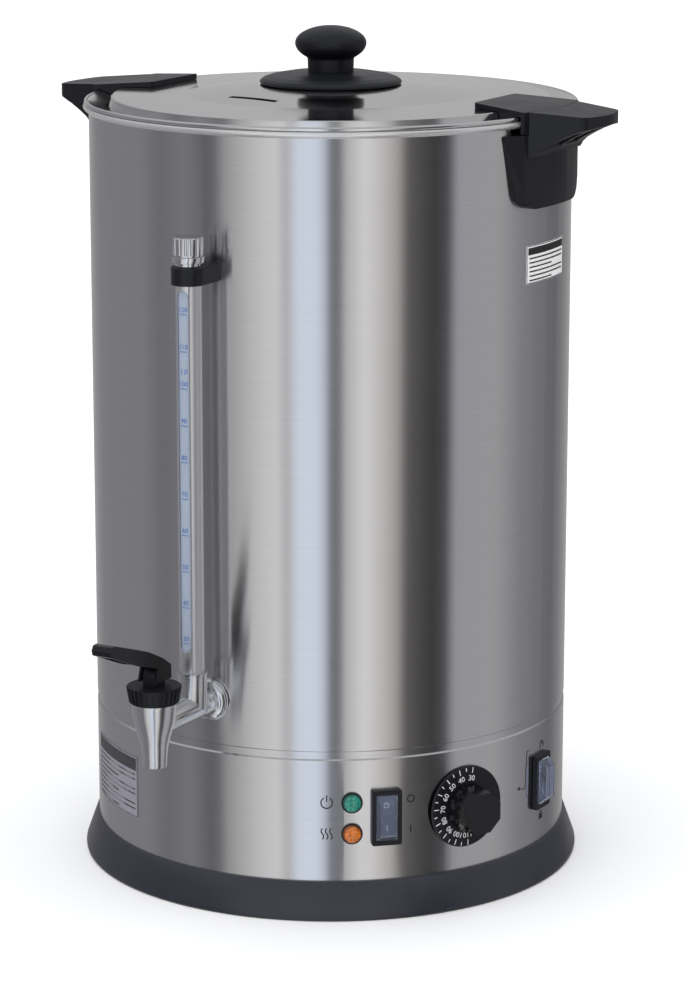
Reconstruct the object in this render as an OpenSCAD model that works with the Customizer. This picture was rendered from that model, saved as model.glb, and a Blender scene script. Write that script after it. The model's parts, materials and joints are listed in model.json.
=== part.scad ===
// Stainless steel brew kettle with a front tap, a sight gauge and an electric base.
// Origin: on the vertical axis, at the surface it stands on. +Z up, tap towards -Y,
// handles at +X and -X. Azimuths are measured from the front, positive towards +X.

/* [Body] */
// Outer radius of the shell
shell_r = 160; // [156:0.5:166]
// Thickness of the steel sheet
sheet_t = 0.8; // [0.6:0.1:1]
// Inner radius of the tank
tank_r = 149.5; // [147:0.5:150]
// Height of the tank's floor, its wetted side
tank_floor_z = 114.8; // [113:0.2:118]
// Height of the shell's upper edge, under the rolled rim
shell_top_z = 507.8; // [500:0.2:515]
// Height of the middle of the pressed groove
groove_z = 109.3; // [108:0.1:110]
// Height of the plastic base ring
ring_h = 24.6; // [22:0.1:28]
// Radius of the base ring at its foot
ring_r = 169.2; // [167:0.1:172]

/* [Lid and knob] */
// Radius of the lid's raised panel
panel_r = 145.2; // [143:0.1:146]
// Rise of the lid's panel above the shell's edge
panel_rise = 8.9; // [8:0.1:10]
// Radius of the knob's ball
knob_r = 23.6; // [20:0.1:26]
// Radius of the knob's heat guard
guard_r = 47; // [42:0.5:50]

/* [Handles] */
// Reach of the handles from the axis
handle_reach = 202.5; // [196:0.5:206]
// Half of the width of a handle where it meets the lid's ear
handle_half_w = 39.4; // [37:0.2:41]
// Height of the handles' top face at its inner end
handle_top_z = 521.3; // [520:0.1:523]

/* [Tap] */
// Height of the tap's shank above the surface
tap_z = 142; // [140:0.5:144]
// Distance of the tap's outlet from the axis
tap_y = 226.5; // [224:0.5:230]
// Radius of the shank
shank_r = 8.5; // [8:0.1:9]

/* [Sight gauge] */
// Distance of the gauge tube from the axis
gauge_y = 181; // [180:0.5:184]
// Outer radius of the metal sleeve
sleeve_r = 8.1; // [7.9:0.05:8.3]
// Width of the sleeve's window
window_w = 8.3; // [6:0.1:9]

/* [Control panel] */
// Height of the row of controls
panel_z = 67.4; // [64:0.2:70]
// Azimuth of the two lamps
lamp_az = 34.3; // [32:0.1:35]
// Azimuth of the power switch
power_az = 42.3; // [42:0.1:44]
// Azimuth of the thermostat dial
dial_az = 62.7; // [61:0.1:65]
// Azimuth of the mode switch
mode_az = 90; // [88:0.5:92]
// Radius of the thermostat dial
dial_r = 27.3; // [25:0.1:28]

/* [Hidden] */

$fn = 96;
eps = 0.01;
contact = 0.05;          // gap between curved faces that seat on each other
steel = "silver";
polished = "gainsboro";
black = "#1c1d20";
slate = "#3a3e4a";
brass = "#b8964e";
rubber = "#2b2b2b";

shell_in_r = shell_r - sheet_t;
tank_out_r = tank_r + sheet_t;
shell_bottom_z = 12;
shelf_z = 9;             // underside of the base ring's shelf
shelf_in_r = shell_r - 16;
plate_t = 1.2;
plate_z = shelf_z - plate_t;

rim_tube_r = 1.7;        // rolled bead at the tank's mouth
rim_r = shell_r + 2.1;
rim_z = shell_top_z + 2.6;
lid_tube_r = 1.4;        // rolled bead at the lid's edge
lid_bead_r = shell_r + 1.9;
lid_bead_z = rim_z + rim_tube_r + lid_tube_r + 0.05;
lid_panel_z = shell_top_z + panel_rise;
lid_sheet = 1.0;
lid_centre_z = lid_panel_z + 7.5;

foot_r = 8.5;
foot_ring_r = 150.5;
foot_count = 4;
tie_ring_r = 118;
tie_count = 3;

ear_in_x = 121;
ear_in_half_w = 30;
seam_r = 166.8;          // outer face of the lid's ears
seam_gap = 0.4;
handle_tip_half_w = 27.3;
handle_slope = 0.075;    // fall of the handle's top face for each mm outwards
pad_r = 167;
pad_low_z = 455.7;
pad_top_z = 503.5;
handle_bolt_y = 16;
handle_bolt_z = 482;

cup_top_z = 157;
cup_low_z = 115;
seat_z = 131;
bonnet_low_z = 157.05;
bonnet_top_z = 168;
lever_pin_z = 175;
spring_low_z = 156.1;
spring_top_z = 164.7;

socket_top_z = tap_z + 23.5;
sleeve_low_z = socket_top_z - 5;
bracket_z = 416.5;
bracket_h = 11.1;
sleeve_top_z = bracket_z + bracket_h;
window_low_z = 180;
window_top_z = 413.3;

bezel_w = 20;
bezel_h = 37.3;
bezel_t = 3.2;
well_w = 16.4;           // switch housing behind the shell
well_h = 32.4;
well_d = 22;
rocker_z = -1.5;         // rocker's pivot, from the shell's face
lamp_pitch = 21;
dial_face = 2.1;         // outer face of the dial, from the shell
shaft_r = 3;
thermo_screw_x = 14;
bracket_screw_z = bracket_z + bracket_h / 2;
gland_az = 180;
gland_z = 45;
reset_x = -60;
reset_y = 60;

// ---- helpers ---------------------------------------------------------------

// Local frame on the shell: Z points outwards, Y up, X to the right seen from outside
module on_wall(az, z) {
    rotate([0, 0, az]) translate([0, -shell_r, z]) rotate([90, 0, 0]) children();
}

module at_tap() {
    translate([0, -tap_y, 0]) children();
}

module at_gauge() {
    translate([0, -gauge_y, 0]) children();
}

module both_sides() {
    children();
    mirror([1, 0, 0]) children();
}

module tube(r_out, r_in, z0, z1) {
    difference() {
        translate([0, 0, z0]) cylinder(r = r_out, h = z1 - z0);
        translate([0, 0, z0 - 1]) cylinder(r = r_in, h = z1 - z0 + 2);
    }
}

module rod(r, z0, z1) {
    translate([0, 0, z0]) cylinder(r = r, h = z1 - z0);
}

module slab(w, h, z0, z1) {
    translate([-w / 2, -h / 2, z0]) cube([w, h, z1 - z0]);
}

// A block that tapers from w0 x h0 to w1 x h1 over the depth d
module taper(w0, h0, w1, h1, d) {
    intersection() {
        translate([0, h0, 0]) rotate([90, 0, 0]) linear_extrude(2 * h0)
            polygon([[-w0 / 2, 0], [w0 / 2, 0], [w1 / 2, d], [-w1 / 2, d]]);
        translate([-w0, 0, 0]) rotate([90, 0, 90]) linear_extrude(2 * w0)
            polygon([[-h0 / 2, 0], [h0 / 2, 0], [h1 / 2, d], [-h1 / 2, d]]);
    }
}

// Sheet wrapped on the shell between two azimuths
module wrap(az0, az1, z0, z1, r0, r1) {
    rotate([0, 0, az0 - 90]) rotate_extrude(angle = az1 - az0)
        translate([r0, z0]) square([r1 - r0, z1 - z0]);
}

module pan_screw(head_r, head_h, shaft_r, length) {
    difference() {
        union() {
            cylinder(r = head_r, h = head_h);
            translate([0, 0, -length]) cylinder(r = shaft_r, h = length + eps);
        }
        translate([-head_r, -0.5, head_h * 0.5]) cube([2 * head_r, 1, head_h]);
        translate([-0.5, -head_r, head_h * 0.5]) cube([1, 2 * head_r, head_h]);
    }
}

// Points of an arc about c, from angle a0 to a1 in n steps
function arc(c, r, a0, a1, n) = [
    for (i = [0:n]) let (a = a0 + (a1 - a0) * i / n) c + r * [cos(a), sin(a)]
];

function round_rect(w, h, r, n = 6) = concat(
    arc([w / 2 - r, h / 2 - r], r, 0, 90, n),
    arc([r - w / 2, h / 2 - r], r, 90, 180, n),
    arc([r - w / 2, r - h / 2], r, 180, 270, n),
    arc([w / 2 - r, r - h / 2], r, 270, 360, n)
);

// Catmull-Rom point between p1 and p2
function curve_at(p0, p1, p2, p3, t) = 0.5 * (2 * p1 + (p2 - p0) * t
    + (2 * p0 - 5 * p1 + 4 * p2 - p3) * t * t + (3 * p1 - p0 - 3 * p2 + p3) * t * t * t);

function curve(pts, n) = [
    for (i = [0:len(pts) - 2]) for (k = [0:n - 1])
        curve_at(pts[max(i - 1, 0)], pts[i], pts[i + 1], pts[min(i + 2, len(pts) - 1)], k / n),
    pts[len(pts) - 1]
];

// Ring of sides points about p, square to direction d, which never runs along ref
function ring_at(p, d, r, sides, ref) = let (
    t = d / norm(d),
    u = cross(t, ref) / norm(cross(t, ref)),
    v = cross(t, u)
) [for (k = [0:sides - 1]) p + r * cos(360 * k / sides) * u + r * sin(360 * k / sides) * v];

module wire(route, r, sides, ref) {
    n = len(route);
    rings = [for (i = [0:n - 1])
        ring_at(route[i], route[min(i + 1, n - 1)] - route[max(i - 1, 0)], r, sides, ref)];
    points = [for (g = rings) for (p = g) p];
    quads = [for (i = [0:n - 2]) for (k = [0:sides - 1]) let (m = (k + 1) % sides)
        [i * sides + k, (i + 1) * sides + k, (i + 1) * sides + m, i * sides + m]];
    first = [for (k = [0:sides - 1]) k];
    last = [for (k = [sides - 1:-1:0]) (n - 1) * sides + k];
    polyhedron(points, concat([first], quads, [last]));
}

// ---- body ------------------------------------------------------------------

seam = 0.02;             // gap between the two skins, in the groove
groove_depth = 0.9;

module outer_shell() color(steel) difference() {
    rotate_extrude($fn = 180) polygon([
        [shell_r - groove_depth, groove_z + seam], [shell_r - groove_depth, groove_z + 2.4],
        [shell_r, groove_z + 3.2], [shell_r, shell_top_z], [shell_in_r, shell_top_z],
        [shell_in_r, groove_z + 3.2], [shell_in_r - groove_depth, groove_z + 2.4],
        [shell_in_r - groove_depth, groove_z + seam]
    ]);
    on_wall(0, tap_z) translate([0, 0, -3]) cylinder(r = shank_r + 0.3, h = 6);
    on_wall(0, bracket_screw_z) translate([0, 0, -3]) cylinder(r = 2.1, h = 6);
    both_sides() for (side = [-1, 1])
        translate([shell_r - 10, side * handle_bolt_y, handle_bolt_z])
            rotate([0, 90, 0]) cylinder(r = 2.8, h = 20);
}

// Lower skin, below the pressed groove, with the cut-outs for the controls
module base_band() color(steel) difference() {
    rotate_extrude($fn = 180) polygon([
        [shell_in_r, shell_bottom_z], [shell_r, shell_bottom_z],
        [shell_r, groove_z - 3.2], [shell_r - groove_depth, groove_z - 2.2],
        [shell_r - groove_depth, groove_z], [shell_in_r - groove_depth, groove_z],
        [shell_in_r - groove_depth, groove_z - 2.2], [shell_in_r, groove_z - 3.2]
    ]);
    for (side = [-1, 1]) on_wall(lamp_az, panel_z + side * lamp_pitch / 2)
        translate([0, 0, -3]) cylinder(r = 5.2, h = 6);
    for (az = [power_az, mode_az]) on_wall(az, panel_z) slab(well_w + 0.6, well_h + 0.6, -4, 3);
    on_wall(dial_az, panel_z) translate([0, 0, -3]) cylinder(r = 4.5, h = 6);
    for (side = [-1, 1]) on_wall(dial_az, panel_z)
        translate([side * thermo_screw_x, 0, -4]) cylinder(r = 2.1, h = 7);
    on_wall(gland_az, gland_z) translate([0, 0, -4]) cylinder(r = 8.3, h = 8);
}

module inner_tank() color(polished) difference() {
    corner = 9;
    floor_low = tank_floor_z - sheet_t;
    flange_z = shell_top_z;
    rotate_extrude($fn = 180) polygon(concat(
        [[0, tank_floor_z], [0, floor_low]],
        arc([tank_out_r - corner, floor_low + corner], corner, 270, 360, 8),
        [[tank_out_r, flange_z], [rim_r - 0.6, flange_z]],
        arc([rim_r, rim_z], rim_tube_r, -75, 175, 20),
        [[rim_r - rim_tube_r, flange_z + 1.4], [rim_r - rim_tube_r - 0.6, flange_z + sheet_t],
         [tank_r, flange_z + sheet_t]],
        arc([tank_out_r - corner, floor_low + corner], corner - sheet_t, 360, 270, 8)
    ));
    on_wall(0, tap_z) translate([0, 0, -16]) cylinder(r = shank_r + 0.3, h = 10);
}

module base_ring() color(slate) difference() {
    wall = 3;
    in_r = ring_r - wall - 1.5;
    rotate_extrude($fn = 180) polygon([
        [shell_r + contact, ring_h], [shell_r + 1.4, ring_h], [shell_r + 2, ring_h - 0.6],
        [ring_r - 0.2, 4.6], [ring_r, 3.2], [ring_r - 0.3, 1], [ring_r - 1.2, 0],
        [in_r, 0], [in_r, 2], [shell_r - 1, shelf_z], [shelf_in_r, shelf_z],
        [shelf_in_r, shell_bottom_z], [shell_r + contact, shell_bottom_z]
    ]);
    for (i = [0:foot_count - 1]) rotate([0, 0, 45 + i * 360 / foot_count])
        translate([foot_ring_r, 0, shelf_z - 1]) cylinder(r = 1.8, h = 3.2);
}

module base_plate() color(steel) difference() {
    rod(shell_r - 2, plate_z, shelf_z);
    for (i = [0:foot_count - 1]) rotate([0, 0, 45 + i * 360 / foot_count])
        translate([foot_ring_r, 0, 0]) rod(2.2, plate_z - 1, shelf_z + 1);
    for (i = [0:tie_count - 1]) rotate([0, 0, 30 + i * 360 / tie_count])
        translate([tie_ring_r, 0, 0]) rod(2.8, plate_z - 1, shelf_z + 1);
    translate([reset_x, reset_y, 0]) rod(4.6, plate_z - 1, shelf_z + 1);
    for (row = [-2:2]) for (side = [-1, 1]) translate([side * 45, row * 12 - 40, 0])
        slab(36, 4, plate_z - 1, shelf_z + 1);
}

module feet() color(rubber) for (i = [0:foot_count - 1])
    rotate([0, 0, 45 + i * 360 / foot_count]) translate([foot_ring_r, 0, 0])
        difference() {
            rod(foot_r, 0, plate_z);
            rod(4.6, -1, 4.2);
            rod(2.2, -1, plate_z + 1);
        }

module tie_bolts() color(steel) for (i = [0:tie_count - 1])
    rotate([0, 0, 30 + i * 360 / tie_count]) translate([tie_ring_r, 0, 0]) {
        rod(2.5, plate_z - 3.8, tank_floor_z - sheet_t);
        difference() {
            translate([0, 0, plate_z - 4]) cylinder(r = 4.6, h = 4, $fn = 6);
            rod(2.5, 0, shelf_z);
        }
    }

module heat_plate() color("lightgray") {
    rod(88, tank_floor_z - sheet_t - 4, tank_floor_z - sheet_t);
}

module heating_element() color("dimgray") {
    ring = 70;
    tube_r = 4.2;
    low = tank_floor_z - sheet_t - 4 - tube_r;
    gap = 24;
    translate([0, 0, low]) rotate([0, 0, gap / 2 - 90]) rotate_extrude(angle = 360 - gap)
        translate([ring, 0]) circle(r = tube_r, $fn = 32);
    for (side = [-1, 1]) rotate([0, 0, side * gap / 2 - 90]) translate([ring, 0, 0]) {
        rod(tube_r + 1, 84, low + 2);
        rod(1.5, 74, 84 + eps);
    }
}

module heat_shield() color(polished) difference() {
    rotate_extrude() polygon([
        [0, 94], [154, 94], [154, 88], [154.8, 88], [154.8, 94.8], [0, 94.8]
    ]);
    for (side = [-1, 1]) rotate([0, 0, side * 12 - 90]) translate([70, 0, 0]) rod(6, 90, 98);
    for (i = [0:tie_count - 1]) rotate([0, 0, 30 + i * 360 / tie_count])
        translate([tie_ring_r, 0, 0]) rod(3, 90, 98);
    translate([20, 0, 0]) rod(3, 90, 98);
    translate([-20, 0, 0]) rod(3, 90, 98);
}

// ---- electrical parts inside the base ---------------------------------------

module thermostat_body() color("tan") on_wall(dial_az, panel_z) difference() {
    union() {
        slab(38, 30, -34, -10);
        slab(34, 8, -10 - eps, -2.6);
    }
    for (side = [-1, 1]) translate([side * thermo_screw_x, 0, 0]) rod(1.8, -9, 0);
    rod(shaft_r + contact, -14, 0);
}

// Liquid-filled bulbs of the thermostat and of the cut-out, with their capillaries
module sensor_bulbs() color("darkgoldenrod") {
    for (x = [20, -20]) translate([x, 0, 0]) {
        rod(1, 60, tank_floor_z - sheet_t - 10);
        rod(2.6, tank_floor_z - sheet_t - 10, tank_floor_z - sheet_t - 4);
    }
    for (route = CAPILLARIES) wire(curve(route, 5), 0.9, 8, [1, 1, 0]);
}

// Screws of the feet, of the thermostat and of the gauge's bracket
module case_screws() color(steel) {
    for (i = [0:foot_count - 1]) rotate([0, 0, 45 + i * 360 / foot_count])
        translate([foot_ring_r, 0, 4.1]) rotate([180, 0, 0]) pan_screw(4, 2.4, 1.75, 6.8);
    for (side = [-1, 1]) on_wall(dial_az, panel_z) translate([side * thermo_screw_x, 0, -0.3])
        pan_screw(3.2, 0.9, 1.75, 8);
    translate([0, 0, bracket_screw_z]) rotate([90, 0, 0]) translate([0, 0, shell_r + 6])
        pan_screw(3.4, 2, 1.75, 14);
}

module cutout_body() color("saddlebrown") difference() {
    translate([reset_x, reset_y, 0]) slab(34, 26, shelf_z, 34);
    translate([reset_x, reset_y, 0]) rod(4.6, shelf_z - 1, 22);
}

module terminal_block() color("ivory") translate([40, 95, 0]) difference() {
    slab(44, 18, shelf_z, 26);
    for (i = [-1:1]) translate([i * 13, 0, 0]) rod(3, 20, 27);
    for (i = [-1:1]) translate([i * 13, -12, 15]) rotate([-90, 0, 0]) cylinder(r = 2, h = 24);
}

module earth_stud() color(brass) translate([-20, 110, 0]) {
    rod(2.5, shelf_z, 28);
    difference() {
        translate([0, 0, shelf_z]) cylinder(r = 5, h = 4, $fn = 6);
        rod(2.5, 0, 30);
    }
}

// Routes of the leads between the terminal block, the controls, the element and the cut-out
LEADS = [
    [[27, 85.5, 15], [27, 70, 15], [50, 30, 14], [76, -20, 20], [88, -84, 44], [92, -101.1, 62]],
    [[40, 85.5, 15], [40, 74, 16], [68, 44, 24], [105, 8, 40], [128, 0, 60], [137.1, 0, 65]],
    [[53, 85.5, 15], [54, 74, 15], [82, 44, 14], [98, 0, 24], [102, -48, 56], [110.8, -56.6, 61]],
    [[-20, 107, 20], [-19, 100, 24], [-8, 92, 30], [2, 90, 28], [14, 92, 22], [17.3, 93, 20]],
    [[14.6, -68.5, 73.7], [15, -67.5, 62], [40, -48, 48], [80, -44, 44], [101, -58, 55], [109.4, -61, 57]],
    [[-14.6, -68.5, 73.7], [-15, -67, 62], [-34, -30, 46], [-66, 20, 44], [-71, 48, 42], [-70, 56, 34.8]]
];
// Capillary tubes from the two bulbs to the thermostat and to the cut-out
CAPILLARIES = [
    [[20, 0, 59.9], [21, -1, 50], [40, -12, 46], [80, -26, 56], [102, -47, 73], [110.8, -56.6, 76]],
    [[-20, 0, 59.9], [-21, 1, 50], [-34, 24, 45], [-50, 50, 43], [-53, 60, 40], [-53, 61, 34.8]]
];

module wiring_loom() color("firebrick") for (route = LEADS)
    wire(curve(route, 5), 1.3, 8, [1, 1, 0]);

module cord_gland() color(black) on_wall(gland_az, gland_z) difference() {
    union() {
        rod(8, -12, 0.2);
        rod(12, 0.2, 5);
        translate([0, 0, 5 - eps]) cylinder(r1 = 9.5, r2 = 7.5, h = 15);
        difference() {
            translate([0, 0, -7]) cylinder(r = 12, h = 5, $fn = 6);
            rod(8, -8, 0);
        }
    }
    rod(4.2, -13, 21);
}

// ---- switches and lamps -----------------------------------------------------

module switch_housing() difference() {
    union() {
        translate([0, 0, contact]) linear_extrude(bezel_t)
            polygon(round_rect(bezel_w, bezel_h, 1.6));
        slab(well_w, well_h, -well_d, contact + eps);
    }
    slab(12.4, 29.6, -well_d + 2, bezel_t + 1);
}

// The stub pins the rocker turns on
module rocker_pins() for (side = [-1, 1]) translate([side * 6.4, 0, rocker_z])
    rotate([0, -side * 90, 0]) cylinder(r = 1.15, h = 1.8);

module rocker_block() intersection() {
    slab(11.4, 28.8, -14, 6);
    translate([-10, 0, 0]) rotate([90, 0, 90]) linear_extrude(20) polygon([
        [-12.6, 4.2], [0, 1.8], [12.6, 4.2], [12.8, 2.4], [7, -6], [-7, -6], [-12.8, 2.4]
    ]);
}

// The rocker leans at rest: its off half is pressed in
module rocker() translate([0, 0, rocker_z]) rotate([-8, 0, 0]) difference() {
    rocker_block();
    translate([-10, 0, 0]) rotate([0, 90, 0]) cylinder(r = 1.2, h = 20);
}

module switch_cover() translate([0, 0, bezel_t + contact]) difference() {
    union() {
        taper(14.6, 31, 13.2, 29.8, 1);
        translate([0, 0, 1 - eps]) taper(13.2, 29.8, 10.6, 22.4, 4.4);
    }
    translate([0, 0, -eps]) taper(12.6, 28.6, 9.4, 21, 4.6);
}

module power_switch_housing() color(black) on_wall(power_az, panel_z) {
    switch_housing();
    rocker_pins();
}
module power_rocker() color("#2a3040") on_wall(power_az, panel_z) rocker();
module power_cover() color("#8d97ab", 0.5) on_wall(power_az, panel_z) switch_cover();
module mode_switch_housing() color(black) on_wall(mode_az, panel_z) {
    switch_housing();
    rocker_pins();
}
module mode_rocker() color("#2a3040") on_wall(mode_az, panel_z) rocker();
module mode_cover() color("#8d97ab", 0.5) on_wall(mode_az, panel_z) switch_cover();

module lamp_bodies() color(black) for (side = [-1, 1])
    on_wall(lamp_az, panel_z + side * lamp_pitch / 2) {
        tube(7, 6.1, contact, 1);
        difference() {
            rod(5, -20, 0.5);
            rod(4.2, -12, 2);
        }
        tube(6.2, 5 - eps, contact, 0.5);
    }

module lamp_lens() rotate_extrude($fn = 48) polygon(concat(
    [[0, -3], [4.1, -3], [4.1, 0.55], [6, 0.55], [6, 1.6]],
    arc([4.6, 2.2], 1.1, -20, 70, 4),
    [[3.6, 3.7], [2, 4], [0, 4.1]]
));

module power_lamp_lens() color("seagreen") on_wall(lamp_az, panel_z + lamp_pitch / 2) lamp_lens();
module heating_lamp_lens() color("orange") on_wall(lamp_az, panel_z - lamp_pitch / 2) lamp_lens();

module thermostat_shaft() color("gray") on_wall(dial_az, panel_z) rod(shaft_r, -13, 14.5);

module thermostat_dial() color(black) on_wall(dial_az, panel_z) rotate_extrude() polygon([
    [shaft_r + contact, 1], [20, 1], [21, 0.4], [dial_r, 0.4], [dial_r, dial_face - 0.6],
    [dial_r - 0.7, dial_face], [shaft_r + contact, dial_face]
]);

module thermostat_knob() color(black) on_wall(dial_az, panel_z)
    translate([0, 0, dial_face + contact]) difference() {
        rotate([0, 0, 22.5]) cylinder(r1 = 16.4, r2 = 14.6, h = 18.5, $fn = 8);
        for (i = [0:3]) rotate([0, 0, i * 90]) translate([22.6, 0, -1]) cylinder(r = 8, h = 15.5);
        rod(shaft_r + contact, -1, 13);
    }

module reset_button() color("red") translate([reset_x, reset_y, 0]) {
    rod(4.3, 4.4, 18);
    rod(2, 18 - eps, 20);
}

// ---- handles ------------------------------------------------------------------

function top_z(x) = handle_top_z - handle_slope * (x - ear_in_x);

module handle_plan(half_in, half_out, x_in, x_out, corner) {
    polygon(concat(
        [[x_in, -half_in]],
        arc([x_out - corner - 3, corner - half_out], corner, -80, -18, 5),
        arc([x_out - 60, 0], 60, -11, 11, 6),
        arc([x_out - corner - 3, half_out - corner], corner, 18, 80, 5),
        [[x_in, half_in]]
    ));
}

module handle() color(black) difference() {
    corner = 12;
    union() {
        difference() {
            intersection() {
                translate([0, 0, 480]) linear_extrude(50) handle_plan(
                    handle_half_w, handle_tip_half_w, 150, handle_reach, 9);
                translate([0, 60, 0]) rotate([90, 0, 0]) linear_extrude(120) polygon([
                    [155, 489], [pad_r - 0.5, 489.4], [168.6, 492.6], [172, 495.6],
                    [178, 499], [186, 502.9], [194, 506.2], [handle_reach + 1, 508.8],
                    [handle_reach + 1, top_z(handle_reach + 1)], [155, top_z(155)]
                ]);
            }
            rod(seam_r + seam_gap, pad_top_z, 540);
            rod(shell_r + contact, 450, 540);
        }
        // pad against the shell, with drafted flanks
        intersection() {
            tube(pad_r, shell_r + contact, pad_low_z, pad_top_z);
            translate([0, 0, pad_low_z]) linear_extrude(60)
                polygon([[148, -54.7], [168, -33.4], [168, 33.4], [148, 54.7]]);
            translate([100, 0, 0]) rotate([90, 0, 90]) linear_extrude(100) polygon(concat(
                [[51.2, pad_top_z], [-51.2, pad_top_z]],
                arc([corner - 39, pad_low_z + corner], corner, 180, 270, 5),
                arc([39 - corner, pad_low_z + corner], corner, 270, 360, 5)
            ));
        }
    }
    // hollow underside, with a rib left in the middle
    for (side = [-1, 1]) intersection() {
        translate([pad_r + 3, side * 11.5 - 8.5, 480]) cube([20, 17, 50]);
        translate([0, 60, 0]) rotate([90, 0, 0]) linear_extrude(120) polygon([
            [160, 470], [200, 470], [200, top_z(200) - 4], [160, top_z(160) - 4]
        ]);
    }
    for (side = [-1, 1]) translate([shell_r - 2, side * handle_bolt_y, handle_bolt_z])
        rotate([0, 90, 0]) cylinder(r = 2.55, h = 7);
}

module handle_right() handle();
module handle_left() mirror([1, 0, 0]) handle();

module handle_screws() color(steel) both_sides() for (side = [-1, 1])
    translate([shell_in_r - 1.5, side * handle_bolt_y, handle_bolt_z])
        rotate([0, 90, 0]) rotate([180, 0, 0]) pan_screw(4.6, 2.6, 2.5, 7.2);

// ---- lid ------------------------------------------------------------------------

// Upper and lower surface of the lid's sheet, from the axis outwards
lid_upper = [
    [0, lid_centre_z], [49, lid_centre_z - 0.2], [70, lid_panel_z + 5.2], [96, lid_panel_z + 1.8],
    [panel_r - 1, lid_panel_z + 0.2], [panel_r, lid_panel_z - 0.2], [147.5, 507.7], [148.1, 507.5],
    [148.8, 509.9], [151.2, 510.8], [160.3, 514.3]
];
lid_lower = [
    [0, lid_centre_z - lid_sheet], [49, lid_centre_z - lid_sheet - 0.2], [70, lid_panel_z + 4.2],
    [96, lid_panel_z + 0.8], [panel_r - 1.9, lid_panel_z - 0.8], [panel_r - 1.1, lid_panel_z - 1.1],
    [147, 506.7], [149.15, 506.7], [149.4, 509.2], [151.2, 509.8], [160.1, 513.1]
];

module lid_pan() color(polished) difference() {
    n = len(lid_lower);
    rotate_extrude($fn = 180) polygon(concat(
        lid_upper,
        arc([lid_bead_r, lid_bead_z], lid_tube_r, 150, -150, 16),
        [for (i = [n - 1:-1:0]) lid_lower[i]]
    ));
    rod(3.2, 500, 540);
    both_sides() for (side = [-1, 1]) translate([133, side * 18, 0]) rod(2.1, 500, 530);
    rotate([0, 0, -100.5]) translate([78, 0, 0]) slab(4.5, 40, 500, 530);
}

// Moulded ear over the lid's edge, cut to the lid's shape with a skirt outside the bead
module ear() color(black) difference() {
    intersection() {
        translate([0, 0, pad_top_z + 0.6]) linear_extrude(40) polygon(concat(
            arc([ear_in_x + 3, 3 - ear_in_half_w], 3, 180, 255, 3),
            [[160, -handle_half_w], [175, -handle_half_w - 2],
             [175, handle_half_w + 2], [160, handle_half_w]],
            arc([ear_in_x + 3, ear_in_half_w - 3], 3, 105, 180, 3)
        ));
        translate([0, 60, 0]) rotate([90, 0, 0]) linear_extrude(120) polygon([
            [ear_in_x, top_z(ear_in_x)], [ear_in_x, 500], [180, 500], [180, top_z(180)]
        ]);
        rod(seam_r, 500, 540);
    }
    for (side = [-1, 1]) translate([133, side * 18, 0]) rod(1.85, 510, 519.4);
    rotate_extrude() polygon([
        [90, 500], [90, lid_panel_z + 2.2], [96, lid_panel_z + 2], [panel_r - 1, lid_panel_z + 0.4],
        [panel_r + 0.5, lid_panel_z + 0.1], [147.8, 508], [148.4, 510.2], [151.1, 511.1],
        [160.2, 514.6], [161, 515.3], [163.4, 515.3], [164.2, 514], [164.2, 500]
    ]);
}

module lid_ear_right() ear();
module lid_ear_left() mirror([1, 0, 0]) ear();

module ear_screws() color(steel) both_sides() for (side = [-1, 1])
    translate([133, side * 18, lid_panel_z - 0.7]) rotate([180, 0, 0])
        pan_screw(3.6, 2, 1.75, 3.4);

module lid_knob() color(black) difference() {
    ball_z = lid_centre_z + 26.7;
    neck_r = 15.4;
    rise = 11.4;
    drop = 12.7;
    neck_a = 312;
    rotate_extrude($fn = 128) polygon(concat(
        [[0, lid_centre_z + 8.2], [neck_r - 0.3, lid_centre_z + 8.2], [neck_r, ball_z - 10.4]],
        [for (i = [0:8]) let (a = neck_a + (360 - neck_a) * i / 8)
            [knob_r * cos(a), ball_z + drop * sin(a)]],
        [for (i = [1:12]) let (a = 90 * i / 12) [knob_r * cos(a), ball_z + rise * sin(a)]]
    ));
    rod(2.5, 520, lid_centre_z + 24);
}

module knob_guard() color(black) rotate_extrude($fn = 128) polygon([
    [3, lid_centre_z + contact], [guard_r - 2, lid_centre_z + contact],
    [guard_r - 0.4, lid_centre_z + 0.5], [guard_r, lid_centre_z + 1.6],
    [guard_r - 0.5, lid_centre_z + 2.4], [guard_r - 2.4, lid_centre_z + 3.8],
    [guard_r - 7, lid_centre_z + 5.4], [guard_r - 17, lid_centre_z + 7.2],
    [16.5, lid_centre_z + 8.1], [3, lid_centre_z + 8.1]
]);

module knob_screw() color(steel) translate([0, 0, lid_centre_z - lid_sheet - 0.1])
    rotate([180, 0, 0]) pan_screw(5, 2.6, 2.4, 24);

// ---- tap --------------------------------------------------------------------------

module tap_body() color(polished) difference() {
    union() {
        at_tap() rotate_extrude() polygon([
            [0, cup_low_z], [7.7, cup_low_z], [7.8, 119], [8.15, 123.8], [8.9, 129],
            [10.2, 134], [11.5, 138.4], [12.7, 143], [13.5, 147.4], [14, 152], [14.2, cup_top_z],
            [13, cup_top_z], [13, 163], [0, 163]
        ]);
        translate([0, 0, tap_z]) rotate([90, 0, 0]) rod(shank_r, 139, tap_y);
        at_gauge() rod(9.6, tap_z, socket_top_z);
        at_gauge() tube(10, 9, socket_top_z - 1.2, socket_top_z);
    }
    at_tap() {
        rod(5.4, cup_low_z - 1, seat_z + 1);
        rotate_extrude() polygon([
            [0, seat_z], [5.4, seat_z], [9, seat_z + 7], [11, 147], [11, 164], [0, 164]
        ]);
    }
    translate([0, 0, tap_z]) rotate([90, 0, 0]) rod(4.4, 138, tap_y - 4);
    at_gauge() {
        rod(3, tap_z, 152);
        rod(6.2, 149, socket_top_z + 1);
        rod(sleeve_r + contact, sleeve_low_z - contact, socket_top_z + 1);
    }
}

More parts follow.
